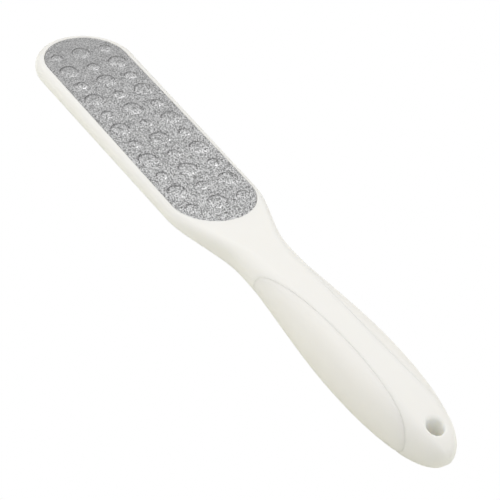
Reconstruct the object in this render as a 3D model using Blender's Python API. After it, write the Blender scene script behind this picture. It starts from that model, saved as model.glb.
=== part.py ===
"""Callus remover: a straight, double-sided foot file, lying with its coarse side up.

The long axis is X, with the head at -X and the tail of the handle at +X. Both faces of the
file are alike about its middle plane, and so are its left (-Y) and right (+Y) sides.
All sizes are in metres.
"""

import math

import bmesh
import bpy

# Coarse and fine plates: a long outline with round ends, a little narrower at the handle's end
PLATE_LENGTH = 0.1300
PLATE_WIDTH = 0.0336
PLATE_NEAR_WIDTH = 0.0325
PLATE_THICKNESS = 0.0008
PLATE_SEGMENTS = 28

# Raised discs of the coarse plate, large and small in turn on a grid set in from the plate's edges
DISC_COLUMNS = 11
DISC_ROWS = 3
DISC_FAR_DISTANCE = 0.0114
DISC_NEAR_DISTANCE = 0.0118
DISC_SIDE_DISTANCE = 0.0061
LARGE_DISC_RADIUS = 0.0038
SMALL_DISC_RADIUS = 0.0024
DISC_HEIGHT = 0.0007
DISC_EDGE = 0.0005
LARGE_DISC_SEGMENTS = 20
SMALL_DISC_SEGMENTS = 16

# Adhesive sheets that hold the plates
ADHESIVE_THICKNESS = 0.0004
ADHESIVE_INSET = 0.0006

# Head of the handle body
RIM_WIDTH = 0.0035
RIM_NEAR_WIDTH = 0.0026
RIM_LIP = 0.0002
HEAD_THICKNESS = 0.0068
HEAD_EDGE_WIDTH = 0.0030
HEAD_EDGE_HEIGHT = 0.0029

# Neck, handle and tail of the handle body
NECK_LENGTH = 0.0358
NECK_WIDTH = 0.0205
HANDLE_RISE = 0.0593
BELLY_WIDTH = 0.0265
BELLY_THICKNESS = 0.0196
TAIL_LENGTH = 0.0471
TAIL_POWER = 2.2
TAIL_THICK_POWER = 2.6
ROUNDING_LEAD = 0.0140
ROUNDING_RUN = 0.0260
ROUND_WIDTH_SHARE = 0.65
ROUND_HEIGHT_SHARE = 0.97

# Side grips: their seam is an ellipse seen from above
GRIP_LENGTH = 0.0877
GRIP_HALF_DEPTH = 0.0061
GRIP_OFFSET = 0.0109
GRIP_BEFORE_BELLY = 0.0051
GRIP_WALL = 0.0024
GRIP_SUNK = 0.0001
GRIP_SEGMENTS = 56
POST_RADIUS = 0.0028
POST_SPACING = 0.0230
POST_COUNT = 3
POST_END_GAP = 0.0005
POST_SEGMENTS = 20

# Core between the grips, hollowed from both sides to a web
CORE_WEB = 0.0026
CORE_FLANGE = 0.0028
CORE_RIB = 0.0030

# Hang hole near the tail's end
HOLE_DIAMETER = 0.0058
HOLE_FROM_TAIL = 0.0088
HOLE_LIP = 0.0011
HOLE_SEGMENTS = 32
LIP_STEPS = 3

# Clearances
SEAT_GAP = 0.0003
OVERRUN = 0.0020

# Mesh fineness of the lofted body
EDGE_STEPS = 5
HEAD_END_STEPS = 18
NECK_STEPS = 12
HANDLE_STEPS = 10
TAIL_STEPS = 10

# Places along the file and across its thickness
LENGTH = RIM_WIDTH + PLATE_LENGTH - PLATE_NEAR_WIDTH / 2 + NECK_LENGTH + HANDLE_RISE + TAIL_LENGTH
HEAD_TIP_X = -LENGTH / 2
TAIL_X = LENGTH / 2
PLATE_FAR_X = HEAD_TIP_X + RIM_WIDTH
FAR_CENTRE_X = PLATE_FAR_X + PLATE_WIDTH / 2
NEAR_CENTRE_X = PLATE_FAR_X + PLATE_LENGTH - PLATE_NEAR_WIDTH / 2
NECK_X = NEAR_CENTRE_X + NECK_LENGTH
BELLY_X = NECK_X + HANDLE_RISE
GRIP_X = BELLY_X - GRIP_BEFORE_BELLY
HOLE_X = TAIL_X - HOLE_FROM_TAIL
MIDDLE_Z = BELLY_THICKNESS / 2
HEAD_HALF = HEAD_THICKNESS / 2
RECESS_DEPTH = RIM_LIP + PLATE_THICKNESS + SEAT_GAP + ADHESIVE_THICKNESS + SEAT_GAP
CORE_HALF = GRIP_OFFSET - GRIP_HALF_DEPTH

WHITE_PLASTIC = (0.86, 0.85, 0.80, 1.0)
SOFT_WHITE = (0.84, 0.83, 0.78, 1.0)
GREY_METAL = (0.42, 0.42, 0.43, 1.0)
FINE_METAL = (0.50, 0.50, 0.50, 1.0)
CLEAR_ADHESIVE = (0.75, 0.74, 0.70, 1.0)
SATIN = 0.35
SOFT_SATIN = 0.45
COARSE_GRAIN = 0.55
FINE_GRAIN = 0.5
WAXY = 0.6
SHARP_ANGLE = math.radians(30)


def clear_scene():
    """Remove whatever the scene holds."""
    for item in list(bpy.data.objects):
        bpy.data.objects.remove(item, do_unlink=True)


def new_material(name, colour, roughness, metallic):
    """A plain surface with the piece's colour and gloss."""
    material = bpy.data.materials.new(name)
    material.use_nodes = True
    shader = material.node_tree.nodes["Principled BSDF"]
    shader.inputs["Base Color"].default_value = colour
    shader.inputs["Roughness"].default_value = roughness
    shader.inputs["Metallic"].default_value = metallic
    return material


def add_object(name, work, material=None):
    """Turn a bmesh into a named object whose faces point outward."""
    bmesh.ops.recalc_face_normals(work, faces=work.faces)
    mesh = bpy.data.meshes.new(name)
    work.to_mesh(mesh)
    work.free()
    mesh.shade_smooth()
    mesh.set_sharp_from_angle(angle=SHARP_ANGLE)
    item = bpy.data.objects.new(name, mesh)
    bpy.context.scene.collection.objects.link(item)
    if material is not None:
        mesh.materials.append(material)
    return item


def add_cutter(name, work):
    """A hidden helper solid for a Boolean."""
    item = add_object(name, work)
    item.hide_render = True
    item.display_type = "WIRE"
    return item


def combine(target, other, operation):
    """Cut, join or intersect the target with another solid."""
    modifier = target.modifiers.new(other.name, "BOOLEAN")
    modifier.operation = operation
    modifier.solver = "EXACT"
    modifier.object = other


def ease(start, end, x):
    """A smooth step from 0 at the start to 1 at the end."""
    share = min(max((x - start) / (end - start), 0), 1)
    return share * share * (3 - 2 * share)


def tail_share(x, power):
    """How much of the belly's size is left towards the tail's round end."""
    share = min(max((x - BELLY_X) / TAIL_LENGTH, 0), 1)
    return (1 - share**power) ** (1 / power)


def head_half_width(x):
    """The head's half width, tapering from the far arc's centre to the near one's."""
    far = PLATE_WIDTH / 2 + RIM_WIDTH
    near = PLATE_NEAR_WIDTH / 2 + RIM_NEAR_WIDTH
    share = min(max((x - FAR_CENTRE_X) / (NEAR_CENTRE_X - FAR_CENTRE_X), 0), 1)
    return far + (near - far) * share


def section_sizes(x):
    """Half width, half thickness and the two radii of the rounded edge at a place along the body."""
    head = head_half_width(x)
    width = head + (NECK_WIDTH / 2 - head) * ease(NEAR_CENTRE_X, NECK_X, x)
    width += (BELLY_WIDTH - NECK_WIDTH) / 2 * ease(NECK_X, BELLY_X, x)
    thickness = HEAD_HALF + (MIDDLE_Z - HEAD_HALF) * ease(NEAR_CENTRE_X, BELLY_X, x)
    width *= tail_share(x, TAIL_POWER)
    thickness *= tail_share(x, TAIL_THICK_POWER)
    rounding = ease(NECK_X - ROUNDING_LEAD, NECK_X - ROUNDING_LEAD + ROUNDING_RUN, x)
    edge_width = HEAD_EDGE_WIDTH + (ROUND_WIDTH_SHARE * width - HEAD_EDGE_WIDTH) * rounding
    edge_height = HEAD_EDGE_HEIGHT + (ROUND_HEIGHT_SHARE * thickness - HEAD_EDGE_HEIGHT) * rounding
    edge_height = min(edge_height, ROUND_HEIGHT_SHARE * thickness)
    return width, thickness, edge_width, edge_height


def half_profile(width, thickness, edge_width, edge_height):
    """Distances from the middle and heights, from the top face round the edge to the bottom face."""
    corner = []
    for step in range(EDGE_STEPS + 1):
        angle = math.pi / 2 * step / EDGE_STEPS
        out = width - edge_width + edge_width * math.sin(angle)
        up = thickness - edge_height + edge_height * math.cos(angle)
        corner.append((out, up))
    return corner + [(out, -up) for out, up in reversed(corner)]


def body_stations(start, end):
    """Places along the body where its section is set, closer together where it bends."""
    places = [FAR_CENTRE_X]
    places += [NEAR_CENTRE_X + NECK_LENGTH * step / NECK_STEPS for step in range(NECK_STEPS)]
    places += [NECK_X + HANDLE_RISE * step / HANDLE_STEPS for step in range(HANDLE_STEPS)]
    for step in range(TAIL_STEPS):
        angle = math.pi / 2 * step / TAIL_STEPS
        places.append(BELLY_X + TAIL_LENGTH * math.sin(angle) ** (2 / TAIL_POWER))
    return [place for place in places if start <= place <= end]


def add_section(work, x, grow):
    """One section: top middle, bottom middle, and the -Y and +Y half profiles."""
    profile = half_profile(*[size + grow for size in section_sizes(x)])
    height = profile[0][1]
    top = work.verts.new((x, 0, MIDDLE_Z + height))
    bottom = work.verts.new((x, 0, MIDDLE_Z - height))
    left = [work.verts.new((x, -out, MIDDLE_Z + up)) for out, up in profile]
    right = [work.verts.new((x, out, MIDDLE_Z + up)) for out, up in profile]
    return top, bottom, left, right


def section_loop(section):
    """The section's points in order round it."""
    top, bottom, left, right = section
    return [top] + left + [bottom] + right[::-1]


def join_sections(work, first, second):
    """Faces between two neighbouring sections."""
    one, two = section_loop(first), section_loop(second)
    for here in range(len(one)):
        after = (here + 1) % len(one)
        work.faces.new((one[here], two[here], two[after], one[after]))


def add_head_end(work, section):
    """The round end of the head: its edge profile turned about the far arc's centre."""
    top, bottom, left, right = section
    profile = half_profile(*section_sizes(FAR_CENTRE_X))
    columns = [left]
    for step in range(1, HEAD_END_STEPS):
        angle = math.pi * step / HEAD_END_STEPS
        column = []
        for out, up in profile:
            x = FAR_CENTRE_X - out * math.sin(angle)
            column.append(work.verts.new((x, -out * math.cos(angle), MIDDLE_Z + up)))
        columns.append(column)
    columns.append(right)
    for one, two in zip(columns, columns[1:]):
        work.faces.new((top, one[0], two[0]))
        work.faces.new((bottom, two[-1], one[-1]))
        for here in range(len(one) - 1):
            work.faces.new((one[here], one[here + 1], two[here + 1], two[here]))


def body_form():
    """The whole outer form of the handle body, from the head's round end to the tail."""
    work = bmesh.new()
    sections = [add_section(work, x, 0) for x in body_stations(HEAD_TIP_X, TAIL_X)]
    for one, two in zip(sections, sections[1:]):
        join_sections(work, one, two)
    add_head_end(work, sections[0])
    tip = work.verts.new((TAIL_X, 0, MIDDLE_Z))
    loop = section_loop(sections[-1])
    for here in range(len(loop)):
        work.faces.new((loop[here], tip, loop[(here + 1) % len(loop)]))
    return work


def handle_form(grow):
    """The handle's own stretch of the outer form, grown or shrunk, with flat ends."""
    work = bmesh.new()
    start = GRIP_X - GRIP_LENGTH / 2 - OVERRUN
    end = GRIP_X + GRIP_LENGTH / 2 + OVERRUN
    places = [start] + body_stations(start, end) + [end]
    sections = [add_section(work, x, grow) for x in places]
    for one, two in zip(sections, sections[1:]):
        join_sections(work, one, two)
    work.faces.new(section_loop(sections[0]))
    work.faces.new(section_loop(sections[-1])[::-1])
    return work


def prism(outline, bottom, top):
    """An outline in plan, drawn up from one height to another."""
    work = bmesh.new()
    low = [work.verts.new((x, y, bottom)) for x, y in outline]
    high = [work.verts.new((x, y, top)) for x, y in outline]
    work.faces.new(low[::-1])
    work.faces.new(high)
    for here in range(len(outline)):
        after = (here + 1) % len(outline)
        work.faces.new((low[here], low[after], high[after], high[here]))
    return work


def plate_outline(inset):
    """Two arcs joined by their common tangents, set in from the plate's edge."""
    far = PLATE_WIDTH / 2 - inset
    near = PLATE_NEAR_WIDTH / 2 - inset
    turn = math.acos((far - near) / (NEAR_CENTRE_X - FAR_CENTRE_X))
    points = []
    for step in range(PLATE_SEGMENTS + 1):
        angle = turn + (2 * math.pi - 2 * turn) * step / PLATE_SEGMENTS
        points.append((FAR_CENTRE_X + far * math.cos(angle), far * math.sin(angle)))
    for step in range(PLATE_SEGMENTS + 1):
        angle = -turn + 2 * turn * step / PLATE_SEGMENTS
        points.append((NEAR_CENTRE_X + near * math.cos(angle), near * math.sin(angle)))
    return points


def grip_outline(side, inset):
    """The grip's seam seen from above: an ellipse beside the middle line."""
    points = []
    for step in range(GRIP_SEGMENTS):
        angle = 2 * math.pi * step / GRIP_SEGMENTS
        x = GRIP_X + (GRIP_LENGTH / 2 - inset) * math.cos(angle)
        y = side * GRIP_OFFSET + (GRIP_HALF_DEPTH - inset) * math.sin(angle)
        points.append((x, y))
    return points


def cross_bar(x, start_y, end_y, radius):
    """A round bar along Y at the middle height."""
    work = bmesh.new()
    rings = []
    for y in (start_y, end_y):
        ring = []
        for step in range(POST_SEGMENTS):
            angle = 2 * math.pi * step / POST_SEGMENTS
            place = (x + radius * math.cos(angle), y, MIDDLE_Z + radius * math.sin(angle))
            ring.append(work.verts.new(place))
        rings.append(ring)
    one, two = rings
    work.faces.new(one)
    work.faces.new(two[::-1])
    for here in range(POST_SEGMENTS):
        after = (here + 1) % POST_SEGMENTS
        work.faces.new((one[here], two[here], two[after], one[after]))
    return work


def box(low, high):
    """A rectangular block between two corners."""
    outline = [(low[0], low[1]), (high[0], low[1]), (high[0], high[1]), (low[0], high[1])]
    return prism(outline, low[2], high[2])


def hole_cutter():
    """The hang hole with a softly rounded lip at both faces."""
    radius = HOLE_DIAMETER / 2
    half = section_sizes(HOLE_X)[1]
    upper = [(radius, half - HOLE_LIP)]
    for step in range(1, LIP_STEPS + 1):
        angle = math.pi / 2 * step / LIP_STEPS
        upper.append((radius + HOLE_LIP * (1 - math.cos(angle)), half - HOLE_LIP * (1 - math.sin(angle))))
    upper.append((radius + HOLE_LIP, half + OVERRUN))
    profile = [(out, -up) for out, up in reversed(upper)] + upper
    work = bmesh.new()
    rings = []
    for out, up in profile:
        ring = []
        for step in range(HOLE_SEGMENTS):
            angle = 2 * math.pi * step / HOLE_SEGMENTS
            place = (HOLE_X + out * math.cos(angle), out * math.sin(angle), MIDDLE_Z + up)
            ring.append(work.verts.new(place))
        rings.append(ring)
    for one, two in zip(rings, rings[1:]):
        for here in range(HOLE_SEGMENTS):
            after = (here + 1) % HOLE_SEGMENTS
            work.faces.new((one[here], one[after], two[after], two[here]))
    work.faces.new(rings[0][::-1])
    work.faces.new(rings[-1])
    return work


def post_places():
    """Where the grips' posts stand along the handle."""
    middle = (POST_COUNT - 1) / 2
    return [GRIP_X + POST_SPACING * (number - middle) for number in range(POST_COUNT)]


def cut_recesses(body):
    """A recess in each face of the head, for the adhesive and its plate."""
    outline = plate_outline(-SEAT_GAP)
    for name, side in (("coarse_recess", 1), ("fine_recess", -1)):
        floor = MIDDLE_Z + side * (HEAD_HALF - RECESS_DEPTH)
        outside = MIDDLE_Z + side * (HEAD_HALF + OVERRUN)
        cutter = add_cutter(name, prism(outline, min(floor, outside), max(floor, outside)))
        combine(body, cutter, "DIFFERENCE")


def cut_grip_seats(body):
    """The handle's sides are cut away along the seams, which leaves a core between the grips."""
    for name, side in (("left_seat", -1), ("right_seat", 1)):
        outline = grip_outline(side, -SEAT_GAP)
        bottom = MIDDLE_Z - BELLY_THICKNESS / 2 - OVERRUN
        top = MIDDLE_Z + BELLY_THICKNESS / 2 + OVERRUN
        combine(body, add_cutter(name, prism(outline, bottom, top)), "DIFFERENCE")


def hollow_core(body):
    """Pockets from both sides leave a web with ribs round the post bores."""
    places = post_places()
    boss = POST_RADIUS + SEAT_GAP + CORE_RIB
    for number, (one, two) in enumerate(zip(places, places[1:])):
        start, end = one + boss, two - boss
        half = min(section_sizes(start)[1], section_sizes(end)[1]) - CORE_FLANGE
        for name, side in (("left", -1), ("right", 1)):
            inner = side * CORE_WEB / 2
            outer = side * (CORE_HALF + OVERRUN)
            low = (start, min(inner, outer), MIDDLE_Z - half)
            high = (end, max(inner, outer), MIDDLE_Z + half)
            combine(body, add_cutter(f"{name}_core_pocket_{number}", box(low, high)), "DIFFERENCE")


def cut_post_bores(body):
    """Bores across the core take the posts of both grips."""
    reach = CORE_HALF + OVERRUN
    for number, x in enumerate(post_places()):
        bar = cross_bar(x, -reach, reach, POST_RADIUS + SEAT_GAP)
        combine(body, add_cutter(f"post_bore_{number}", bar), "DIFFERENCE")


def make_handle_body(material):
    """Head, neck and handle in one white moulding."""
    body = add_object("handle_body", body_form(), material)
    cut_recesses(body)
    cut_grip_seats(body)
    hollow_core(body)
    cut_post_bores(body)
    combine(body, add_cutter("hang_hole", hole_cutter()), "DIFFERENCE")


def make_grip(name, side, material):
    """A side grip: a shell just under the handle's form, with posts for the core's bores."""
    grip = add_object(name, handle_form(-GRIP_SUNK), material)
    bottom = MIDDLE_Z - BELLY_THICKNESS / 2 - OVERRUN
    top = MIDDLE_Z + BELLY_THICKNESS / 2 + OVERRUN
    outline = add_cutter(f"{name}_outline", prism(grip_outline(side, 0), bottom, top))
    combine(grip, outline, "INTERSECT")
    combine(grip, add_cutter(f"{name}_hollow", handle_form(-GRIP_WALL)), "DIFFERENCE")
    for number, x in enumerate(post_places()):
        inner = side * POST_END_GAP
        outer = side * (section_sizes(x)[0] - GRIP_WALL / 2)
        post = cross_bar(x, min(inner, outer), max(inner, outer), POST_RADIUS)
        combine(grip, add_cutter(f"{name}_post_{number}", post), "UNION")


def plate_heights(side):
    """Inner and outer face of a plate, on the coarse (+1) or fine (-1) side."""
    outer = MIDDLE_Z + side * (HEAD_HALF - RIM_LIP)
    inner = outer - side * PLATE_THICKNESS
    return min(inner, outer), max(inner, outer)


def disc_places():
    """Middle and size of each raised disc: large and small take turns along rows and columns."""
    step_x = (PLATE_LENGTH - DISC_FAR_DISTANCE - DISC_NEAR_DISTANCE) / (DISC_COLUMNS - 1)
    step_y = (PLATE_WIDTH - 2 * DISC_SIDE_DISTANCE) / (DISC_ROWS - 1)
    for row in range(DISC_ROWS):
        for column in range(DISC_COLUMNS):
            x = PLATE_FAR_X + DISC_FAR_DISTANCE + step_x * column
            y = step_y * (row - (DISC_ROWS - 1) / 2)
            yield x, y, (row + column) % 2 == 1


def add_disc(work, x, y, base, radius, segments):
    """A low disc with a sloping edge, rooted in the plate's thickness."""
    levels = (
        (radius, base - PLATE_THICKNESS / 2),
        (radius, base),
        (radius - DISC_EDGE, base + DISC_HEIGHT),
    )
    rings = []
    for out, z in levels:
        ring = []
        for step in range(segments):
            angle = 2 * math.pi * step / segments
            ring.append(work.verts.new((x + out * math.cos(angle), y + out * math.sin(angle), z)))
        rings.append(ring)
    for one, two in zip(rings, rings[1:]):
        for here in range(segments):
            after = (here + 1) % segments
            work.faces.new((one[here], one[after], two[after], two[here]))
    work.faces.new(rings[0][::-1])
    work.faces.new(rings[-1])


def make_coarse_plate(material):
    """The coarse metal plate with its raised discs."""
    low, high = plate_heights(1)
    plate = add_object("coarse_plate", prism(plate_outline(0), low, high), material)
    work = bmesh.new()
    for x, y, large in disc_places():
        radius = LARGE_DISC_RADIUS if large else SMALL_DISC_RADIUS
        segments = LARGE_DISC_SEGMENTS if large else SMALL_DISC_SEGMENTS
        add_disc(work, x, y, high, radius, segments)
    combine(plate, add_cutter("raised_discs", work), "UNION")


def make_fine_plate(material):
    """The flat fine plate on the other face."""
    low, high = plate_heights(-1)
    add_object("fine_plate", prism(plate_outline(0), low, high), material)


def make_adhesive(name, side, material):
    """A thin sheet between a recess's floor and its plate."""
    floor = MIDDLE_Z + side * (HEAD_HALF - RECESS_DEPTH + SEAT_GAP)
    face = floor + side * ADHESIVE_THICKNESS
    outline = plate_outline(ADHESIVE_INSET)
    add_object(name, prism(outline, min(floor, face), max(floor, face)), material)


def main():
    """Build every piece of the file."""
    clear_scene()
    make_handle_body(new_material("white_plastic", WHITE_PLASTIC, SATIN, 0))
    soft = new_material("soft_white", SOFT_WHITE, SOFT_SATIN, 0)
    make_grip("left_grip", -1, soft)
    make_grip("right_grip", 1, soft)
    make_coarse_plate(new_material("coarse_metal", GREY_METAL, COARSE_GRAIN, 1))
    make_fine_plate(new_material("fine_metal", FINE_METAL, FINE_GRAIN, 1))
    adhesive = new_material("clear_adhesive", CLEAR_ADHESIVE, WAXY, 0)
    make_adhesive("coarse_plate_adhesive", 1, adhesive)
    make_adhesive("fine_plate_adhesive", -1, adhesive)


main()
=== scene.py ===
"""Looks of the callus remover: a straight foot file with a coarse and a fine metal plate."""

import math

import bmesh
import bpy
import numpy as np
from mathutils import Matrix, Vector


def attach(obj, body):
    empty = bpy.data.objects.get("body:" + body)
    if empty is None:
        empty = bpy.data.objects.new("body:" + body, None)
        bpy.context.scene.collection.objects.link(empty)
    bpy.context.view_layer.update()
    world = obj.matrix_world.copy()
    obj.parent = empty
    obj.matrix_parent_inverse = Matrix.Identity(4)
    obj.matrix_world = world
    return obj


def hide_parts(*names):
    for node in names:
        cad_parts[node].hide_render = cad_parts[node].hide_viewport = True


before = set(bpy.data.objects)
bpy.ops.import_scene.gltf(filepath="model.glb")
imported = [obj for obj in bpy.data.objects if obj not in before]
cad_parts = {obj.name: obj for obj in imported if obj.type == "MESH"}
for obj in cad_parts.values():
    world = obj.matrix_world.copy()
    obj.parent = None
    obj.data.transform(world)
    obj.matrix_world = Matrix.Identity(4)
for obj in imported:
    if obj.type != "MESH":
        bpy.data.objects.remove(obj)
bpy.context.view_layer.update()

# Handle body: one injection moulding in satin white plastic, with a flat head, a slim neck and a
# swelling handle that is cut away on both sides for its grips. Each face of the head has a recess
# for a plate. The edges of the recesses, of the seams and of the hang hole are softly rounded.
MM = 0.001
PLATE_LENGTH = 130.0 * MM
PLATE_WIDTH = 33.6 * MM
PLATE_NEAR_WIDTH = 32.5 * MM
RIM_WIDTH = 3.5 * MM
RIM_NEAR_WIDTH = 2.6 * MM
RIM_LIP = 0.2 * MM
RECESS_DEPTH = 2.0 * MM
RECESS_GAP = 0.15 * MM
RIM_ROUNDING = 0.25 * MM
HEAD_THICKNESS = 6.8 * MM
HEAD_EDGE_WIDTH = 3.0 * MM
HEAD_EDGE_HEIGHT = 2.9 * MM
NECK_LENGTH = 35.8 * MM
NECK_WIDTH = 20.5 * MM
HANDLE_RISE = 59.3 * MM
BELLY_WIDTH = 26.5 * MM
BELLY_THICKNESS = 19.6 * MM
TAIL_LENGTH = 47.1 * MM
TAIL_POWER = 2.2
TAIL_THICK_POWER = 2.6
ROUNDING_LEAD = 14.0 * MM
ROUNDING_RUN = 26.0 * MM
ROUND_WIDTH_SHARE = 0.65
ROUND_HEIGHT_SHARE = 0.97
GRIP_LENGTH = 87.7 * MM
GRIP_HALF_DEPTH = 6.1 * MM
GRIP_OFFSET = 10.9 * MM
GRIP_BEFORE_BELLY = 5.1 * MM
SEAM_GAP = 0.006 * MM
SEAM_ROUNDING = 1.3 * MM
SEAM_DEPTH = 0.36 * MM
SEAM_FADE = 1.5 * MM
HOLE_RADIUS = 2.9 * MM
HOLE_FROM_TAIL = 8.8 * MM
HOLE_ROUNDING = 1.1 * MM

WARM_WHITE = (0.89, 0.875, 0.835, 1.0)
WARM_SHADE = (0.88, 0.865, 0.82, 1.0)
# Brighter, creamier colour on the hang hole's wall: painted bounce light for the light thrown about
# inside the hole, not a colour of the plastic.
BORE_PAINTED_BOUNCE = (1.0, 0.99, 0.91, 1.0)
BODY_ROUGHNESS = 0.34
ROUGHNESS_CHANGE = 0.04
PLASTIC_IOR = 1.46
SOFT_SHARE = 0.2
SOFT_COLOUR = (1.0, 0.95, 0.85)
SOFT_DEPTH = 4.0 * MM
CLOUD_SCALE = 60.0
CLOUD_DETAIL = 3.0
SKIN_SCALE = 2500.0
SKIN_DETAIL = 2.0
SKIN_STRENGTH = 0.05
SKIN_HEIGHT = 0.05 * MM
IN_PLAN = (1, 1, 0)
MIX_SOCKETS = {"RGBA": (6, 7, 2), "FLOAT": (2, 3, 0)}

MERGE_DISTANCE = 0.001 * MM
SMALLEST = 1e-12
LEAST_SLANT = 0.02
PROFILE_POINTS = 160
EDGE_DISTANCES = np.array((0.0, 0.03, 0.07, 0.12, 0.19, 0.28, 0.4, 0.55, 0.75, 1.0)) * MM
EDGE_SHARE = 0.3
MIDDLE_COLUMNS = 32
WALL_POINTS = 6
FLOOR_POINTS = 4
HEAD_STEP = 3.0 * MM
BODY_STEP = 0.8 * MM
ARC_STEPS = 36
RECESS_END_STEPS = 54
SEAM_STEPS = 120
TAIL_STEPS = 60
QUARTER_TURN = math.pi / 2

LENGTH = RIM_WIDTH + PLATE_LENGTH - PLATE_NEAR_WIDTH / 2 + NECK_LENGTH + HANDLE_RISE + TAIL_LENGTH
FAR_X = -LENGTH / 2 + RIM_WIDTH + PLATE_WIDTH / 2
NEAR_X = -LENGTH / 2 + RIM_WIDTH + PLATE_LENGTH - PLATE_NEAR_WIDTH / 2
NECK_X = NEAR_X + NECK_LENGTH
BELLY_X = NECK_X + HANDLE_RISE
TAIL_X = LENGTH / 2
GRIP_X = BELLY_X - GRIP_BEFORE_BELLY
GRIP_START = GRIP_X - GRIP_LENGTH / 2
GRIP_END = GRIP_X + GRIP_LENGTH / 2
HOLE_X = TAIL_X - HOLE_FROM_TAIL
HOLE_START = HOLE_X - HOLE_RADIUS
HOLE_END = HOLE_X + HOLE_RADIUS
MIDDLE_Z = BELLY_THICKNESS / 2
HEAD_HALF = HEAD_THICKNESS / 2
RECESS_FAR = PLATE_WIDTH / 2 + RECESS_GAP
RECESS_NEAR = PLATE_NEAR_WIDTH / 2 + RECESS_GAP
RECESS_END = NEAR_X + RECESS_NEAR


def ease(start, end, x):
    """A smooth step from 0 at the start to 1 at the end."""
    share = np.clip((x - start) / (end - start), 0, 1)
    return share * share * (3 - 2 * share)


def along_head(far, near, x):
    """A size that changes evenly from the far arc's centre to the near one's."""
    return far + (near - far) * np.clip((x - FAR_X) / (NEAR_X - FAR_X), 0, 1)


def tail_share(x, power):
    """How much of the belly's size is left towards the tail's round end."""
    return (1 - np.clip((x - BELLY_X) / TAIL_LENGTH, 0, 1) ** power) ** (1 / power)


def section_sizes(x):
    """Half width, half thickness and the two radii of the rounded edge at a place along the body."""
    head = along_head(PLATE_WIDTH / 2 + RIM_WIDTH, PLATE_NEAR_WIDTH / 2 + RIM_NEAR_WIDTH, x)
    width = head + (NECK_WIDTH / 2 - head) * ease(NEAR_X, NECK_X, x)
    width += (BELLY_WIDTH - NECK_WIDTH) / 2 * ease(NECK_X, BELLY_X, x)
    width *= tail_share(x, TAIL_POWER)
    thickness = HEAD_HALF + (MIDDLE_Z - HEAD_HALF) * ease(NEAR_X, BELLY_X, x)
    thickness *= tail_share(x, TAIL_THICK_POWER)
    rounding = ease(NECK_X - ROUNDING_LEAD, NECK_X - ROUNDING_LEAD + ROUNDING_RUN, x)
    edge_width = HEAD_EDGE_WIDTH + (ROUND_WIDTH_SHARE * width - HEAD_EDGE_WIDTH) * rounding
    edge_height = HEAD_EDGE_HEIGHT + (ROUND_HEIGHT_SHARE * thickness - HEAD_EDGE_HEIGHT) * rounding
    return width, thickness, edge_width, min(edge_height, ROUND_HEIGHT_SHARE * thickness)


def quarter_profile(x, grow=0):
    """Outward and upward places from the top's middle to the side's middle, and the way between."""
    width, thickness, edge_width, edge_height = [size + grow for size in section_sizes(x)]
    angle = np.linspace(0, QUARTER_TURN, PROFILE_POINTS)
    out = np.r_[0, width - edge_width + edge_width * np.sin(angle), width]
    up = np.r_[thickness, thickness - edge_height + edge_height * np.cos(angle), 0]
    way = np.r_[0, np.cumsum(np.hypot(np.diff(out), np.diff(up)))]
    return out, up, way


def column_places(first, last):
    """Places between two ends of a profile, closer together near both ends."""
    length = last - first
    edge = EDGE_DISTANCES * min(1, EDGE_SHARE * length / EDGE_DISTANCES[-1])
    middle = np.linspace(edge[-1], length - edge[-1], MIDDLE_COLUMNS + 2)[1:-1]
    return first + np.r_[edge, middle, length - edge[::-1]]


def surface_row(x, start, end, grow=0):
    """Points of the outer surface at a place along the body, between two distances from the middle."""
    out, up, way = quarter_profile(x, grow)
    first = np.interp(start, out, way) if start > 0 else 0
    last = np.interp(end, out, way) if end < out[-1] else way[-1]
    places = column_places(first, last)
    return np.interp(places, way, out), np.interp(places, way, up)


def seam_distance(x, inset):
    """How far from the middle line a seam runs; endlessly far beyond the ends of the grip."""
    share = (x - GRIP_X) / (GRIP_LENGTH / 2 - inset)
    if abs(share) >= 1:
        return math.inf
    return GRIP_OFFSET - (GRIP_HALF_DEPTH - inset) * math.sqrt(1 - share * share)


def unit(vectors):
    """Vectors of length one."""
    return vectors / np.maximum(np.linalg.norm(vectors, axis=-1, keepdims=True), SMALLEST)


def section_normals(points):
    """The way out of the body, from the form of its sections."""
    sizes = np.array([section_sizes(x)[:2] for x in points[:, 0]])
    width, thickness = np.maximum(sizes, MERGE_DISTANCE).T
    return unit(np.c_[0 * width, points[:, 1] / width**2, points[:, 2] / thickness**2])


def round_off(points, normals, distance, across, radius, depth):
    """Round a surface off where it comes near a wall that stands across it."""
    facing = np.sum(normals * across, axis=1)
    away = np.clip(distance, 0, None) / np.sqrt(np.clip(1 - facing**2, LEAST_SLANT, 1))
    inside = np.clip(radius - away, 0, radius)
    drop = depth * (1 - np.sqrt(1 - (inside / radius) ** 2))
    down = unit(normals - facing[:, None] * across)
    return points - down * drop[:, None]


def seam_offset(points, inset):
    """Distance in plan from a seam's ellipse, positive outside it, and the way across it."""
    long_half = GRIP_LENGTH / 2 - inset
    short_half = GRIP_HALF_DEPTH - inset
    x = points[:, 0] - GRIP_X
    y = points[:, 1] - GRIP_OFFSET
    level = (x / long_half) ** 2 + (y / short_half) ** 2 - 1
    slope = np.c_[2 * x / long_half**2, 2 * y / short_half**2, 0 * x]
    size = np.maximum(np.linalg.norm(slope, axis=1), SMALLEST)
    return level / size, slope / size[:, None]


def seam_depths(points, depth):
    """How deep a seam's rounding goes: less and less towards the middle of the body's side."""
    return depth * np.clip(np.abs(points[:, 2]) / SEAM_FADE, 0, 1)


def circle_offset(points, centre_x, radius):
    """Distance in plan from a circle on the middle line, positive outside it, and the way across."""
    arm = np.c_[points[:, 0] - centre_x, points[:, 1], 0 * points[:, 1]]
    size = np.linalg.norm(arm, axis=1)
    return size - radius, arm / np.maximum(size, MERGE_DISTANCE)[:, None]


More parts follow.
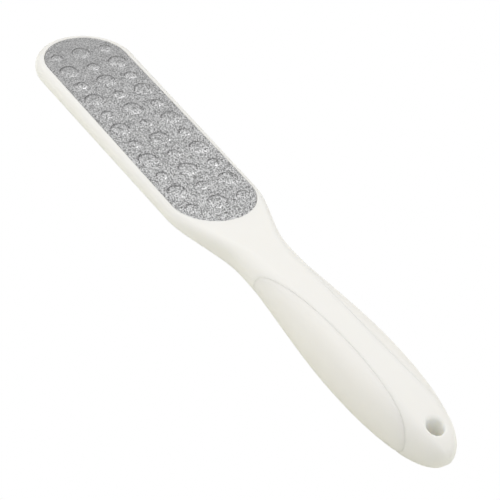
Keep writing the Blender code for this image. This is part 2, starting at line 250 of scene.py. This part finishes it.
def recess_offset(points):
    """Distance in plan from the recess's outline, positive outside it, and the way across."""
    x = points[:, 0]
    centre = np.clip(x, FAR_X, NEAR_X)
    arm = np.c_[x - centre, points[:, 1], 0 * x]
    size = np.maximum(np.linalg.norm(arm, axis=1), MERGE_DISTANCE)
    return size - along_head(RECESS_FAR, RECESS_NEAR, x), arm / size[:, None]


def rounded_edges(points):
    """Round the body's surface off at the recesses, the hang hole and the seams."""
    normals = section_normals(points)
    distance, across = recess_offset(points)
    points = round_off(points, normals, distance, across, RIM_ROUNDING, RIM_ROUNDING)
    distance, across = circle_offset(points, HOLE_X, HOLE_RADIUS)
    points = round_off(points, normals, distance, across, HOLE_ROUNDING, HOLE_ROUNDING)
    distance, across = seam_offset(points, -SEAM_GAP)
    depth = seam_depths(points, SEAM_DEPTH)
    return round_off(points, normals, distance, across, SEAM_ROUNDING, depth)


def between(start, end, count):
    """Points on a straight line between two points, without the first."""
    share = np.linspace(0, 1, count)[1:, None]
    return start + (end - start) * share


def head_row(x, angle):
    """Recess floor, recess wall and outer surface of the head, at a place or turned about its end."""
    floor = HEAD_HALF - RECESS_DEPTH
    reach = along_head(RECESS_FAR, RECESS_NEAR, x)
    if x > NEAR_X:
        reach = math.sqrt(max(RECESS_NEAR**2 - (x - NEAR_X) ** 2, 0))
    out, up = surface_row(x, reach, math.inf)
    points = np.c_[x - out * math.sin(angle), out * math.cos(angle), up]
    points = rounded_edges(points)
    foot = np.array((points[0, 0], points[0, 1], floor))
    middle = np.array((x, 0, floor))
    wall = between(points[0], foot, WALL_POINTS)[::-1]
    bottom = between(foot, middle, FLOOR_POINTS)[::-1]
    return np.r_[bottom, wall, points]


def body_row(x, with_hole):
    """Wall of the hang hole, outer surface and seat wall of the body at a place along it."""
    start = math.sqrt(max(HOLE_RADIUS**2 - (x - HOLE_X) ** 2, 0)) if with_hole else 0
    end = seam_distance(x, -SEAM_GAP)
    out, up = surface_row(x, start, end)
    points = rounded_edges(np.c_[x + 0 * out, out, up])
    foot = np.array((x, points[-1, 1] if end > out[-1] else end, 0))
    row = np.r_[points, between(points[-1], foot, WALL_POINTS)]
    if with_hole:
        low = np.array((points[0, 0], points[0, 1], 0))
        row = np.r_[between(points[0], low, WALL_POINTS)[::-1], row]
    return row


def spread(start, end, step):
    """Evenly spaced places between two ends, about a step apart."""
    return np.linspace(start, end, max(2, round((end - start) / step) + 1))


def arc_places(start, end, steps):
    """Places between two ends, closer together near both."""
    angle = np.linspace(0, math.pi, steps + 1)
    return (start + end) / 2 - (end - start) / 2 * np.cos(angle)


def thinned(places, start, end):
    """The places between two ends in order, without those that all but meet."""
    places = np.sort([place for place in places if start < place < end])
    kept = [start]
    for place in places:
        if place - kept[-1] > MERGE_DISTANCE and end - place > MERGE_DISTANCE:
            kept.append(place)
    return kept + [end]


def body_places():
    """Places along the neck and handle where the body's form is set."""
    turn = np.linspace(0, QUARTER_TURN, TAIL_STEPS)
    tail = BELLY_X + TAIL_LENGTH * np.sin(turn) ** (2 / TAIL_POWER)
    return np.r_[
        spread(RECESS_END, GRIP_START, BODY_STEP),
        RECESS_END + EDGE_DISTANCES,
        GRIP_START - EDGE_DISTANCES,
        arc_places(GRIP_START - SEAM_GAP, GRIP_END + SEAM_GAP, SEAM_STEPS),
        GRIP_END + EDGE_DISTANCES,
        HOLE_START - EDGE_DISTANCES,
        arc_places(HOLE_START, HOLE_END, ARC_STEPS),
        HOLE_END + EDGE_DISTANCES,
        tail[tail > GRIP_END],
    ]


def add_patch(work, rows, side, face):
    """A patch of rows on one side of the middle line and on one face of the middle plane."""
    grid = []
    for row in rows:
        grid.append([work.verts.new((x, side * y, MIDDLE_Z + face * z)) for x, y, z in row])
    for one, two in zip(grid, grid[1:]):
        for here in range(len(one) - 1):
            work.faces.new((one[here], two[here], two[here + 1], one[here + 1]))


def finished_mesh(name, work):
    """Close the seams between patches, drop what has no area, and turn the faces outward."""
    bmesh.ops.remove_doubles(work, verts=work.verts, dist=MERGE_DISTANCE)
    bmesh.ops.dissolve_degenerate(work, edges=work.edges, dist=MERGE_DISTANCE)
    bmesh.ops.recalc_face_normals(work, faces=work.faces)
    mesh = bpy.data.meshes.new(name)
    work.to_mesh(mesh)
    work.free()
    mesh.shade_smooth()
    return mesh


def new_piece(name, mesh, material, node):
    """A finished piece that stands for its CAD node, which it hides, and takes the material it is given.
    """
    mesh.materials.append(material)
    piece = bpy.data.objects.new(name, mesh)
    bpy.context.scene.collection.objects.link(piece)
    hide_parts(node)
    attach(piece, "root")


def body_mesh():
    """The whole moulding, in patches that meet at the recess's end and at the hang hole."""
    work = bmesh.new()
    head = [head_row(FAR_X, angle) for angle in np.linspace(QUARTER_TURN, 0, ARC_STEPS + 1)]
    head += [head_row(x, 0) for x in spread(FAR_X, NEAR_X, HEAD_STEP)[1:]]
    near = np.sin(np.linspace(0, QUARTER_TURN, RECESS_END_STEPS))[1:]
    head += [head_row(NEAR_X + RECESS_NEAR * share, 0) for share in near]
    patches = [head]
    places = body_places()
    for start, end in ((RECESS_END, HOLE_START), (HOLE_START, HOLE_END), (HOLE_END, TAIL_X)):
        with_hole = start == HOLE_START
        patches.append([body_row(x, with_hole) for x in thinned(places, start, end)])
    for rows in patches:
        for side in (-1, 1):
            for face in (-1, 1):
                add_patch(work, rows, side, face)
    return finished_mesh("white_handle_body", work)


def join(tree, value, socket):
    """Link a value to a node's socket, or set it there."""
    if isinstance(value, bpy.types.NodeSocket):
        tree.links.new(value, socket)
    else:
        socket.default_value = value


def add_node(tree, kind, settings=(), **inputs):
    """A new node with its settings, and with its inputs joined by name."""
    node = tree.nodes.new(kind)
    for key, value in dict(settings).items():
        setattr(node, key, value)
    for key, value in inputs.items():
        join(tree, value, node.inputs[key.replace("_", " ")])
    return node


def maths(tree, operation, *values):
    """The result of a sum of one to three numbers."""
    node = add_node(tree, "ShaderNodeMath", {"operation": operation})
    for socket, value in zip(node.inputs, values):
        join(tree, value, socket)
    return node.outputs[0]


def vector_maths(tree, operation, one, two):
    """A node that takes a sum of two vectors."""
    node = add_node(tree, "ShaderNodeVectorMath", {"operation": operation})
    join(tree, one, node.inputs[0])
    join(tree, two, node.inputs[1])
    return node


def mix(tree, kind, share, one, two):
    """What lies between two colours, or two numbers, at a share of the way."""
    first, second, result = MIX_SOCKETS[kind]
    node = add_node(tree, "ShaderNodeMix", {"data_type": kind}, Factor=share)
    join(tree, one, node.inputs[first])
    join(tree, two, node.inputs[second])
    return node.outputs[result]


def map_range(tree, value, known, wanted, kind="LINEAR"):
    """A value that is carried over from one range to another."""
    node = add_node(tree, "ShaderNodeMapRange", {"interpolation_type": kind}, Value=value)
    for name, limit in zip(("From Min", "From Max", "To Min", "To Max"), (*known, *wanted)):
        join(tree, limit, node.inputs[name])
    return node.outputs["Result"]


def new_material(name):
    """A material, its tree, its main shader, and the object's coordinates."""
    material = bpy.data.materials.new(name)
    material.use_nodes = True
    tree = material.node_tree
    place = add_node(tree, "ShaderNodeTexCoord").outputs["Object"]
    return material, tree, tree.nodes["Principled BSDF"], place


def join_all(tree, node, values):
    """Join values to a node's sockets by the sockets' names."""
    for name, value in values.items():
        join(tree, value, node.inputs[name])


def bore_share(tree, place):
    """1 on the wall of the hang hole, falling to 0 over its lip."""
    flat = vector_maths(tree, "MULTIPLY", place, IN_PLAN).outputs["Vector"]
    away = vector_maths(tree, "DISTANCE", flat, (HOLE_X, 0, 0)).outputs["Value"]
    lip = (HOLE_RADIUS, HOLE_RADIUS + HOLE_ROUNDING)
    return map_range(tree, away, lip, (1.0, 0.0), "SMOOTHSTEP")


def moulded_plastic(name, colour, shade, roughness, bore=None):
    """Satin moulded plastic: a faint cloudiness in the white and a fine moulded skin.

    The wall of the hang hole may take a brighter, creamier colour: painted bounce light for the light
    thrown about inside the hole. More light is scattered in the plastic there as well.
    """
    material, tree, shader, place = new_material(name)
    cloud = add_node(tree, "ShaderNodeTexNoise", Vector=place, Scale=CLOUD_SCALE, Detail=CLOUD_DETAIL)
    cloud = cloud.outputs["Fac"]
    gloss = (roughness - ROUGHNESS_CHANGE, roughness + ROUGHNESS_CHANGE)
    skin = add_node(tree, "ShaderNodeTexNoise", Vector=place, Scale=SKIN_SCALE, Detail=SKIN_DETAIL)
    bump = add_node(tree, "ShaderNodeBump", Strength=SKIN_STRENGTH, Distance=SKIN_HEIGHT)
    join(tree, skin.outputs["Fac"], bump.inputs["Height"])
    finish = {
        "Base Color": mix(tree, "RGBA", cloud, colour, shade),
        "Roughness": map_range(tree, cloud, (0.0, 1.0), gloss),
        "Normal": bump.outputs["Normal"],
        "IOR": PLASTIC_IOR,
        "Subsurface Weight": SOFT_SHARE,
        "Subsurface Radius": SOFT_COLOUR,
        "Subsurface Scale": SOFT_DEPTH,
    }
    join_all(tree, shader, finish)
    if bore:
        # Painted bounce light: the hang hole's wall is lightened and warmed towards the bore colour.
        share = bore_share(tree, place)
        tint = mix(tree, "RGBA", share, finish["Base Color"], bore)
        softness = map_range(tree, share, (0.0, 1.0), (SOFT_SHARE, 1.0))
        join_all(tree, shader, {"Base Color": tint, "Subsurface Weight": softness})
    return material


body_plastic = moulded_plastic("satin_white_plastic", WARM_WHITE, WARM_SHADE, BODY_ROUGHNESS, BORE_PAINTED_BOUNCE)
new_piece("white_handle_body", body_mesh(), body_plastic, "handle_body")


# Side grips: two leaf-shaped mouldings in the same white, pressed into the cut-away sides of the
# handle. They lie a hair lower than the body, and their edges are softly rounded at the seam, as
# the body's are, with less and less depth towards the middle of the side.
GRIP_SUNK = 0.1 * MM
GRIP_ROUNDING = 2.0 * MM
GRIP_STEPS = 180
CROSSING_TRIES = 50
GRIP_WHITE = (0.89, 0.87, 0.825, 1.0)
GRIP_SHADE = (0.88, 0.86, 0.81, 1.0)
GRIP_ROUGHNESS = 0.38


def crossing(direction):
    """Where the seam meets the widest line of the handle, towards the head (-1) or the tail (+1)."""
    inner, outer = GRIP_X, GRIP_X + direction * (GRIP_LENGTH / 2 - SEAM_GAP)
    for _ in range(CROSSING_TRIES):
        middle = (inner + outer) / 2
        if seam_distance(middle, SEAM_GAP) < section_sizes(middle)[0] - GRIP_SUNK:
            inner = middle
        else:
            outer = middle
    return outer


def grip_row(x):
    """Wall of a grip at its seam, from the middle plane up, and its outer surface to its side."""
    start = seam_distance(x, SEAM_GAP)
    out, up = surface_row(x, start, math.inf, -GRIP_SUNK)
    points = np.c_[x + 0 * out, out, up]
    distance, across = seam_offset(points, SEAM_GAP)
    normals = section_normals(points)
    depth = seam_depths(points, SEAM_DEPTH - GRIP_SUNK)
    points = round_off(points, normals, -distance, -across, GRIP_ROUNDING, depth)
    foot = np.array((x, start, 0))
    return np.r_[between(points[0], foot, WALL_POINTS)[::-1], points]


def grip_mesh(name, side):
    """A grip: its rows mirrored about the middle plane, on one side of the middle line."""
    work = bmesh.new()
    rows = [grip_row(x) for x in arc_places(crossing(-1), crossing(1), GRIP_STEPS)]
    for face in (-1, 1):
        add_patch(work, rows, side, face)
    return finished_mesh(name, work)


grip_plastic = moulded_plastic("satin_grip_plastic", GRIP_WHITE, GRIP_SHADE, GRIP_ROUGHNESS)
for side_name, side in (("left", -1), ("right", 1)):
    mesh = grip_mesh(f"white_{side_name}_grip", side)
    new_piece(f"white_{side_name}_grip", mesh, grip_plastic, f"{side_name}_grip")


# Adhesive sheets: thin translucent double-sided sheets on the recess floors, under the plates.
# Nothing of them shows but their edge, deep in the gap round a plate, so the CAD sheets stay.
BUBBLE_SCALE = 900.0
ADHESIVE_PALE = (0.80, 0.78, 0.72, 1.0)
ADHESIVE_DEEP = (0.70, 0.69, 0.64, 1.0)
ADHESIVE_ROUGHNESS = 0.5


def ramp(tree, value, first, last):
    """A colour that goes from one to another with a value."""
    node = add_node(tree, "ShaderNodeValToRGB", Fac=value)
    node.color_ramp.elements[0].color = first
    node.color_ramp.elements[1].color = last
    return node.outputs["Color"]


def milky_adhesive():
    """Milky adhesive with fine bubbles."""
    material, tree, shader, place = new_material("milky_adhesive")
    bubbles = add_node(tree, "ShaderNodeTexVoronoi", Vector=place, Scale=BUBBLE_SCALE)
    colour = ramp(tree, bubbles.outputs["Distance"], ADHESIVE_PALE, ADHESIVE_DEEP)
    join_all(tree, shader, {"Base Color": colour, "Roughness": ADHESIVE_ROUGHNESS})
    return material


adhesive = milky_adhesive()
for node_name in ("coarse_plate_adhesive", "fine_plate_adhesive"):
    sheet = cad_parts[node_name]
    sheet.data.materials.clear()
    sheet.data.materials.append(adhesive)


# Coarse plate: thin metal with large and small round bosses pressed up in turn, and coarse grit
# bonded all over it. It lies in the recess of the upper face, its bosses just above the rim.
PLATE_THICKNESS = 0.8 * MM
DISC_COLUMNS = 11
DISC_ROWS = 3
DISC_FAR_DISTANCE = 11.4 * MM
DISC_NEAR_DISTANCE = 11.8 * MM
DISC_SIDE_DISTANCE = 6.1 * MM
LARGE_DISC_RADIUS = 3.8 * MM
SMALL_DISC_RADIUS = 2.4 * MM
DISC_HEIGHT = 0.75 * MM
DISC_WALL_RUN = 1.8 * MM
GRID_STEP = 0.235 * MM
GRIT_SIZE = 0.28 * MM
GRIT_HEIGHT = 0.05 * MM
GRIT_DETAIL = 1.0
MIDDLE_LEVEL = 0.5
GRIT_CONTRAST = (0.80, 2.5)
GRIT_LEVEL = (0.535, 0.725)
GRIT_DARK = (0.14, 0.14, 0.14, 1.0)
GRIT_LIGHT = (1.0, 1.0, 1.0, 1.0)
GRIT_ROUGHNESS = 0.28
GLINT_STRENGTH = 0.5
GLINT_PART = 5


def outline_points(step):
    """Points round a plate's edge, and the points of its middle line that they lead to."""
    edge, spine = [], []
    far, near = PLATE_WIDTH / 2, PLATE_NEAR_WIDTH / 2
    turn = math.acos((far - near) / (NEAR_X - FAR_X))
    run = math.sqrt((NEAR_X - FAR_X) ** 2 - (far - near) ** 2)
    arcs = (
        (FAR_X, far, turn, 2 * math.pi - turn, NEAR_X, near, -1),
        (NEAR_X, near, -turn, turn, FAR_X, far, 1),
    )
    for centre, radius, start, end, other, other_radius, side in arcs:
        count = round(radius * (end - start) / step)
        for angle in np.linspace(start, end, count, endpoint=False):
            edge.append((centre + radius * math.cos(angle), radius * math.sin(angle)))
            spine.append((centre, 0))
        first = np.array((centre + radius * math.cos(end), radius * math.sin(end)))
        last = np.array((other + other_radius * math.cos(turn), side * other_radius * math.sin(turn)))
        for share in np.linspace(0, 1, round(run / step), endpoint=False):
            edge.append(tuple(first + (last - first) * share))
            spine.append((centre + (other - centre) * share, 0))
    return np.array(edge), np.array(spine)


def plate_mesh(name, step, face):
    """A plate as rings from its edge in to its middle line, with an edge wall and a plain back."""
    work = bmesh.new()
    edge, spine = outline_points(step)
    outer = face * (HEAD_HALF - RIM_LIP)
    inner = outer - face * PLATE_THICKNESS
    count = round(PLATE_WIDTH / 2 / step)
    rings = [(0, inner), (0, outer)]
    rings += [(ring / count, outer) for ring in range(1, count + 1)]
    grid = []
    for share, z in rings:
        ring = edge + (spine - edge) * share
        grid.append([work.verts.new((x, y, MIDDLE_Z + z)) for x, y in ring])
    for one, two in zip(grid, grid[1:]):
        for here in range(len(one)):
            after = (here + 1) % len(one)
            work.faces.new((one[here], one[after], two[after], two[here]))
    work.faces.new(grid[0])
    mesh = finished_mesh(name, work)
    mesh.shade_flat()
    return mesh


def size_input(tree, name):
    """A named number that the modifier sets."""
    tree.interface.new_socket(name, in_out="INPUT", socket_type="NodeSocketFloat")
    return tree.nodes["Group Input"].outputs[name]


def nearest_line(tree, place, first, step, count):
    """Number of the nearest line of a row of lines, and the distance from it."""
    number = maths(tree, "ROUND", maths(tree, "DIVIDE", maths(tree, "SUBTRACT", place, first), step))
    number = maths(tree, "MAXIMUM", number, 0.0)
    number = maths(tree, "MINIMUM", number, maths(tree, "SUBTRACT", count, 1.0))
    line = maths(tree, "MULTIPLY_ADD", number, step, first)
    return number, maths(tree, "SUBTRACT", place, line)


def boss_height(tree, x, y):
    """Height of the pressed bosses: large and small take turns along rows and columns.

    A boss's wall rises as a quarter of a circle over its run, up to its flat top.
    """
    column_sizes = [size_input(tree, name) for name in ("First column", "Column step", "Columns")]
    row_sizes = [size_input(tree, name) for name in ("First row", "Row step", "Rows")]
    column, off_x = nearest_line(tree, x, *column_sizes)
    row, off_y = nearest_line(tree, y, *row_sizes)
    odd = maths(tree, "MODULO", maths(tree, "ADD", column, row), 2.0)
    large, small = size_input(tree, "Large radius"), size_input(tree, "Small radius")
    radius = maths(tree, "MULTIPLY_ADD", odd, maths(tree, "SUBTRACT", large, small), small)
    squares = [maths(tree, "MULTIPLY", off, off) for off in (off_x, off_y)]
    square = maths(tree, "ADD", *squares)
    inward = maths(tree, "SUBTRACT", radius, maths(tree, "SQRT", square))
    inward = maths(tree, "DIVIDE", inward, size_input(tree, "Wall run"))
    left = maths(tree, "SUBTRACT", 1.0, add_node(tree, "ShaderNodeClamp", Value=inward).outputs[0])
    rise = maths(tree, "SQRT", maths(tree, "SUBTRACT", 1.0, maths(tree, "MULTIPLY", left, left)))
    return maths(tree, "MULTIPLY", rise, size_input(tree, "Boss height"))


def relief_tree(name, material, with_bosses):
    """Raise a plate's outer face by its bosses and by the grit bonded to it."""
    tree = bpy.data.node_groups.new(name, "GeometryNodeTree")
    for way in ("INPUT", "OUTPUT"):
        tree.interface.new_socket("Geometry", in_out=way, socket_type="NodeSocketGeometry")
    start = add_node(tree, "NodeGroupInput")
    place = add_node(tree, "GeometryNodeInputPosition").outputs[0]
    x, y, z = add_node(tree, "ShaderNodeSeparateXYZ", Vector=place).outputs
    scale = size_input(tree, "Grit scale")
    grain = add_node(tree, "ShaderNodeTexNoise", Vector=place, Scale=scale, Detail=GRIT_DETAIL)
    height = maths(tree, "SUBTRACT", grain.outputs[0], MIDDLE_LEVEL)
    height = maths(tree, "MULTIPLY", height, size_input(tree, "Grit height"))
    if with_bosses:
        height = maths(tree, "ADD", height, boss_height(tree, x, y))
    height = maths(tree, "MULTIPLY", height, size_input(tree, "Face"))
    depth = maths(tree, "ABSOLUTE", maths(tree, "SUBTRACT", z, size_input(tree, "Face height")))
    outer = add_node(tree, "FunctionNodeCompare", {"operation": "LESS_THAN"})
    join(tree, depth, outer.inputs[0])
    join(tree, size_input(tree, "Merge distance"), outer.inputs[1])
    offset = add_node(tree, "ShaderNodeCombineXYZ", Z=height).outputs[0]
    moved = add_node(tree, "GeometryNodeSetPosition", Geometry=start.outputs[0], Offset=offset)
    join(tree, outer.outputs[0], moved.inputs["Selection"])
    real = add_node(tree, "GeometryNodeRealizeInstances", Geometry=moved.outputs[0])
    painted = add_node(tree, "GeometryNodeSetMaterial", Geometry=real.outputs[0], Material=material)
    add_node(tree, "NodeGroupOutput", Geometry=painted.outputs[0])
    return tree


def relief_mesh(tree, name, mesh, sizes):
    """The mesh that a tree makes from a plate, as a plain mesh."""
    plate = bpy.data.objects.new(name, mesh)
    bpy.context.scene.collection.objects.link(plate)
    modifier = plate.modifiers.new(name, "NODES")
    modifier.node_group = tree
    for socket in tree.interface.items_tree:
        if socket.in_out == "INPUT" and socket.name in sizes:
            modifier[socket.identifier] = sizes[socket.name]
    shown = plate.evaluated_get(bpy.context.evaluated_depsgraph_get())
    made = bpy.data.meshes.new_from_object(shown)
    made.name = name
    bpy.data.objects.remove(plate, do_unlink=True)
    return made


def along_plate(tree, place, far, near):
    """A value that changes evenly from the plate's far end to its near one."""
    x = add_node(tree, "ShaderNodeSeparateXYZ", Vector=place).outputs[0]
    return map_range(tree, x, (FAR_X, NEAR_X), (far, near))


def grit_metal(name, dark, light, grain_size, roughness):
    """Grit bonded to metal: each grain has its own grey, and its faces glint as they point.

    From the far end to the near one its grains get lighter and more varied in grey.
    """
    material, tree, shader, place = new_material(name)
    grains = add_node(tree, "ShaderNodeTexVoronoi", Vector=place, Scale=1 / grain_size)
    grey = add_node(tree, "ShaderNodeSeparateColor", Color=grains.outputs["Color"]).outputs[0]
    grey = maths(tree, "SUBTRACT", grey, MIDDLE_LEVEL)
    contrast = along_plate(tree, place, *GRIT_CONTRAST)
    level = maths(tree, "MULTIPLY_ADD", grey, contrast, along_plate(tree, place, *GRIT_LEVEL))
    bump = add_node(tree, "ShaderNodeBump", Strength=GLINT_STRENGTH, Distance=grain_size / GLINT_PART)
    join(tree, grains.outputs["Distance"], bump.inputs["Height"])
    join_all(tree, shader, {
        "Base Color": ramp(tree, level, dark, light),
        "Normal": bump.outputs["Normal"],
        "Metallic": 1.0,
        "Roughness": roughness,
    })
    return material


coarse_grit = grit_metal("coarse_grit_on_metal", GRIT_DARK, GRIT_LIGHT, GRIT_SIZE, GRIT_ROUGHNESS)
boss_run = PLATE_LENGTH - DISC_FAR_DISTANCE - DISC_NEAR_DISTANCE
row_run = PLATE_WIDTH - 2 * DISC_SIDE_DISTANCE
coarse_sizes = {
    "Grit scale": 1 / GRIT_SIZE,
    "Grit height": GRIT_HEIGHT,
    "Face": 1.0,
    "Face height": MIDDLE_Z + HEAD_HALF - RIM_LIP,
    "Merge distance": MERGE_DISTANCE,
    "First column": -LENGTH / 2 + RIM_WIDTH + DISC_FAR_DISTANCE,
    "Column step": boss_run / (DISC_COLUMNS - 1),
    "Columns": float(DISC_COLUMNS),
    "First row": -row_run / 2,
    "Row step": row_run / (DISC_ROWS - 1),
    "Rows": float(DISC_ROWS),
    "Large radius": LARGE_DISC_RADIUS,
    "Small radius": SMALL_DISC_RADIUS,
    "Wall run": DISC_WALL_RUN,
    "Boss height": DISC_HEIGHT,
}
coarse_tree = relief_tree("coarse_plate_relief", coarse_grit, True)
coarse_base = plate_mesh("coarse_base", GRID_STEP, 1)
coarse_mesh = relief_mesh(coarse_tree, "coarse_abrasive_plate", coarse_base, coarse_sizes)
new_piece("coarse_abrasive_plate", coarse_mesh, coarse_grit, "coarse_plate")


# Fine plate: the same thin metal, flat, with fine and even grit bonded to it. It lies in the
# recess of the lower face, a hair deeper than the rim.
FINE_GRIT_SIZE = 0.22 * MM
FINE_GRIT_HEIGHT = 0.04 * MM
FINE_GRID_STEP = 0.5 * MM
FINE_GRIT_DARK = (0.34, 0.34, 0.35, 1.0)
FINE_GRIT_LIGHT = (0.60, 0.60, 0.61, 1.0)
FINE_GRIT_ROUGHNESS = 0.5
fine_grit = grit_metal(
    "fine_grit_on_metal", FINE_GRIT_DARK, FINE_GRIT_LIGHT, FINE_GRIT_SIZE, FINE_GRIT_ROUGHNESS,
)
fine_sizes = {
    "Grit scale": 1 / FINE_GRIT_SIZE,
    "Grit height": FINE_GRIT_HEIGHT,
    "Face": -1.0,
    "Face height": MIDDLE_Z - HEAD_HALF + RIM_LIP,
    "Merge distance": MERGE_DISTANCE,
}
fine_tree = relief_tree("fine_plate_relief", fine_grit, False)
fine_base = plate_mesh("fine_base", FINE_GRID_STEP, -1)
fine_mesh = relief_mesh(fine_tree, "fine_abrasive_plate", fine_base, fine_sizes)
new_piece("fine_abrasive_plate", fine_mesh, fine_grit, "fine_plate")


# Floor: a plain sheet of white paper under the file. Seen directly it is as bright as the white
# behind it, and what it throws back on the file is a little warm.
FLOOR_REACH = 6.0
FLOOR_BOUNCE = (0.91, 0.91, 0.83, 1.0)
WHITE = (1.0, 1.0, 1.0, 1.0)
WHITE_STRENGTH = 1.0
floor_work = bmesh.new()
corners = [(FLOOR_REACH * x, FLOOR_REACH * y, 0) for x, y in ((-1, -1), (1, -1), (1, 1), (-1, 1))]
floor_work.faces.new([floor_work.verts.new(corner) for corner in corners])
floor_mesh = bpy.data.meshes.new("studio_floor")
floor_work.to_mesh(floor_mesh)
floor_work.free()
floor = bpy.data.objects.new("studio_floor", floor_mesh)
bpy.context.scene.collection.objects.link(floor)
floor_paint = bpy.data.materials.new("white_floor")
floor_paint.use_nodes = True
floor_tree = floor_paint.node_tree
floor_tree.nodes.clear()
seen = add_node(floor_tree, "ShaderNodeLightPath").outputs["Is Camera Ray"]
paper = add_node(floor_tree, "ShaderNodeBsdfDiffuse", Color=FLOOR_BOUNCE).outputs[0]
glow = add_node(floor_tree, "ShaderNodeEmission", Color=WHITE, Strength=WHITE_STRENGTH).outputs[0]
floor_mix = add_node(floor_tree, "ShaderNodeMixShader", Fac=seen)
floor_tree.links.new(paper, floor_mix.inputs[1])
floor_tree.links.new(glow, floor_mix.inputs[2])
add_node(floor_tree, "ShaderNodeOutputMaterial", Surface=floor_mix.outputs[0])
floor_mesh.materials.append(floor_paint)

# Studio light: a white tent, plain white where it is seen directly. It lights matt surfaces mostly
# from above, and shows in gloss brighter above and beyond the tail. Two small cards light matt
# surfaces alone, beside the head and beyond the tail, and one lamp shows in gloss alone.
ROOM_LIGHT = 0.10
ROOM_SLANT = (-0.22, 0.13, 1.345)
ROOM_MOST = 2.0
GLOSS_LIGHT = 0.62
GLOSS_SLANT = (0.80, -0.16, 1.30)
GLOSS_MOST = 0.80
LAMPS = (
    {"name": "head_card", "place": (-0.10, -0.22, 0.12), "size": 0.12, "power": 0.09, "on_matt": True},
    {"name": "tail_card", "place": (0.24, 0.08, 0.01), "size": 0.06, "power": 0.020, "on_matt": True},
    {"name": "side_light", "place": (0.75, 0.35, 0.56), "size": 0.22, "power": 0.6, "on_matt": False},
)


def slanted_light(tree, way, light, slant, most):
    """Brightness that changes evenly from one side of the room to the other, up to a limit."""
    along = vector_maths(tree, "DOT_PRODUCT", way, slant).outputs["Value"]
    total = maths(tree, "ADD", along, light)
    return add_node(tree, "ShaderNodeClamp", Value=total, Min=0.0, Max=most).outputs[0]


def add_lamp(name, place, size, power, on_matt):
    """A small square lamp turned to the file's middle, that lights matt surfaces or shows in gloss."""
    data = bpy.data.lights.new(name, "AREA")
    data.size = size
    data.energy = power
    lamp = bpy.data.objects.new(name, data)
    bpy.context.scene.collection.objects.link(lamp)
    lamp.location = place
    lamp.visible_diffuse = on_matt
    lamp.visible_glossy = not on_matt
    lamp.rotation_euler = Vector(place).to_track_quat("Z", "Y").to_euler()


world = bpy.data.worlds.new("white_tent")
world.use_nodes = True
room = world.node_tree
way = add_node(room, "ShaderNodeTexCoord").outputs["Generated"]
ray = add_node(room, "ShaderNodeLightPath").outputs
matt_light = slanted_light(room, way, ROOM_LIGHT, ROOM_SLANT, ROOM_MOST)
gloss_light = slanted_light(room, way, GLOSS_LIGHT, GLOSS_SLANT, GLOSS_MOST)
strength = mix(room, "FLOAT", ray["Is Glossy Ray"], matt_light, gloss_light)
strength = mix(room, "FLOAT", ray["Is Camera Ray"], strength, WHITE_STRENGTH)
join_all(room, room.nodes["Background"], {"Color": WHITE, "Strength": strength})
bpy.context.scene.world = world
bpy.context.scene.view_settings.view_transform = "Standard"
for lamp_values in LAMPS:
    add_lamp(**lamp_values)

# Camera: a long lens that looks down on the file from beyond its tail, on the left grip's side,
# and is turned a little about its axis.
CAMERA_PLACE = (0.36861, -0.26462, 0.34978)
CAMERA_AZIMUTH = 53.186
CAMERA_ELEVATION = 37.765
CAMERA_ROLL = 8.258
LENS = 115.2
SENSOR_WIDTH = 36.0
NEAREST_VIEW = 0.01
FARTHEST_VIEW = 50.0
azimuth, elevation = math.radians(CAMERA_AZIMUTH), math.radians(CAMERA_ELEVATION)
back = Vector((
    math.sin(azimuth) * math.cos(elevation),
    -math.cos(azimuth) * math.cos(elevation),
    math.sin(elevation),
))
camera_data = bpy.data.cameras.new("camera")
camera_data.lens = LENS
camera_data.sensor_width = SENSOR_WIDTH
camera_data.clip_start = NEAREST_VIEW
camera_data.clip_end = FARTHEST_VIEW
camera = bpy.data.objects.new("camera", camera_data)
bpy.context.scene.collection.objects.link(camera)
camera.rotation_mode = "QUATERNION"
roll = Matrix.Rotation(math.radians(CAMERA_ROLL), 3, "Z").to_quaternion()
camera.rotation_quaternion = (-back).to_track_quat("-Z", "Y") @ roll
camera.location = CAMERA_PLACE
bpy.context.scene.camera = camera
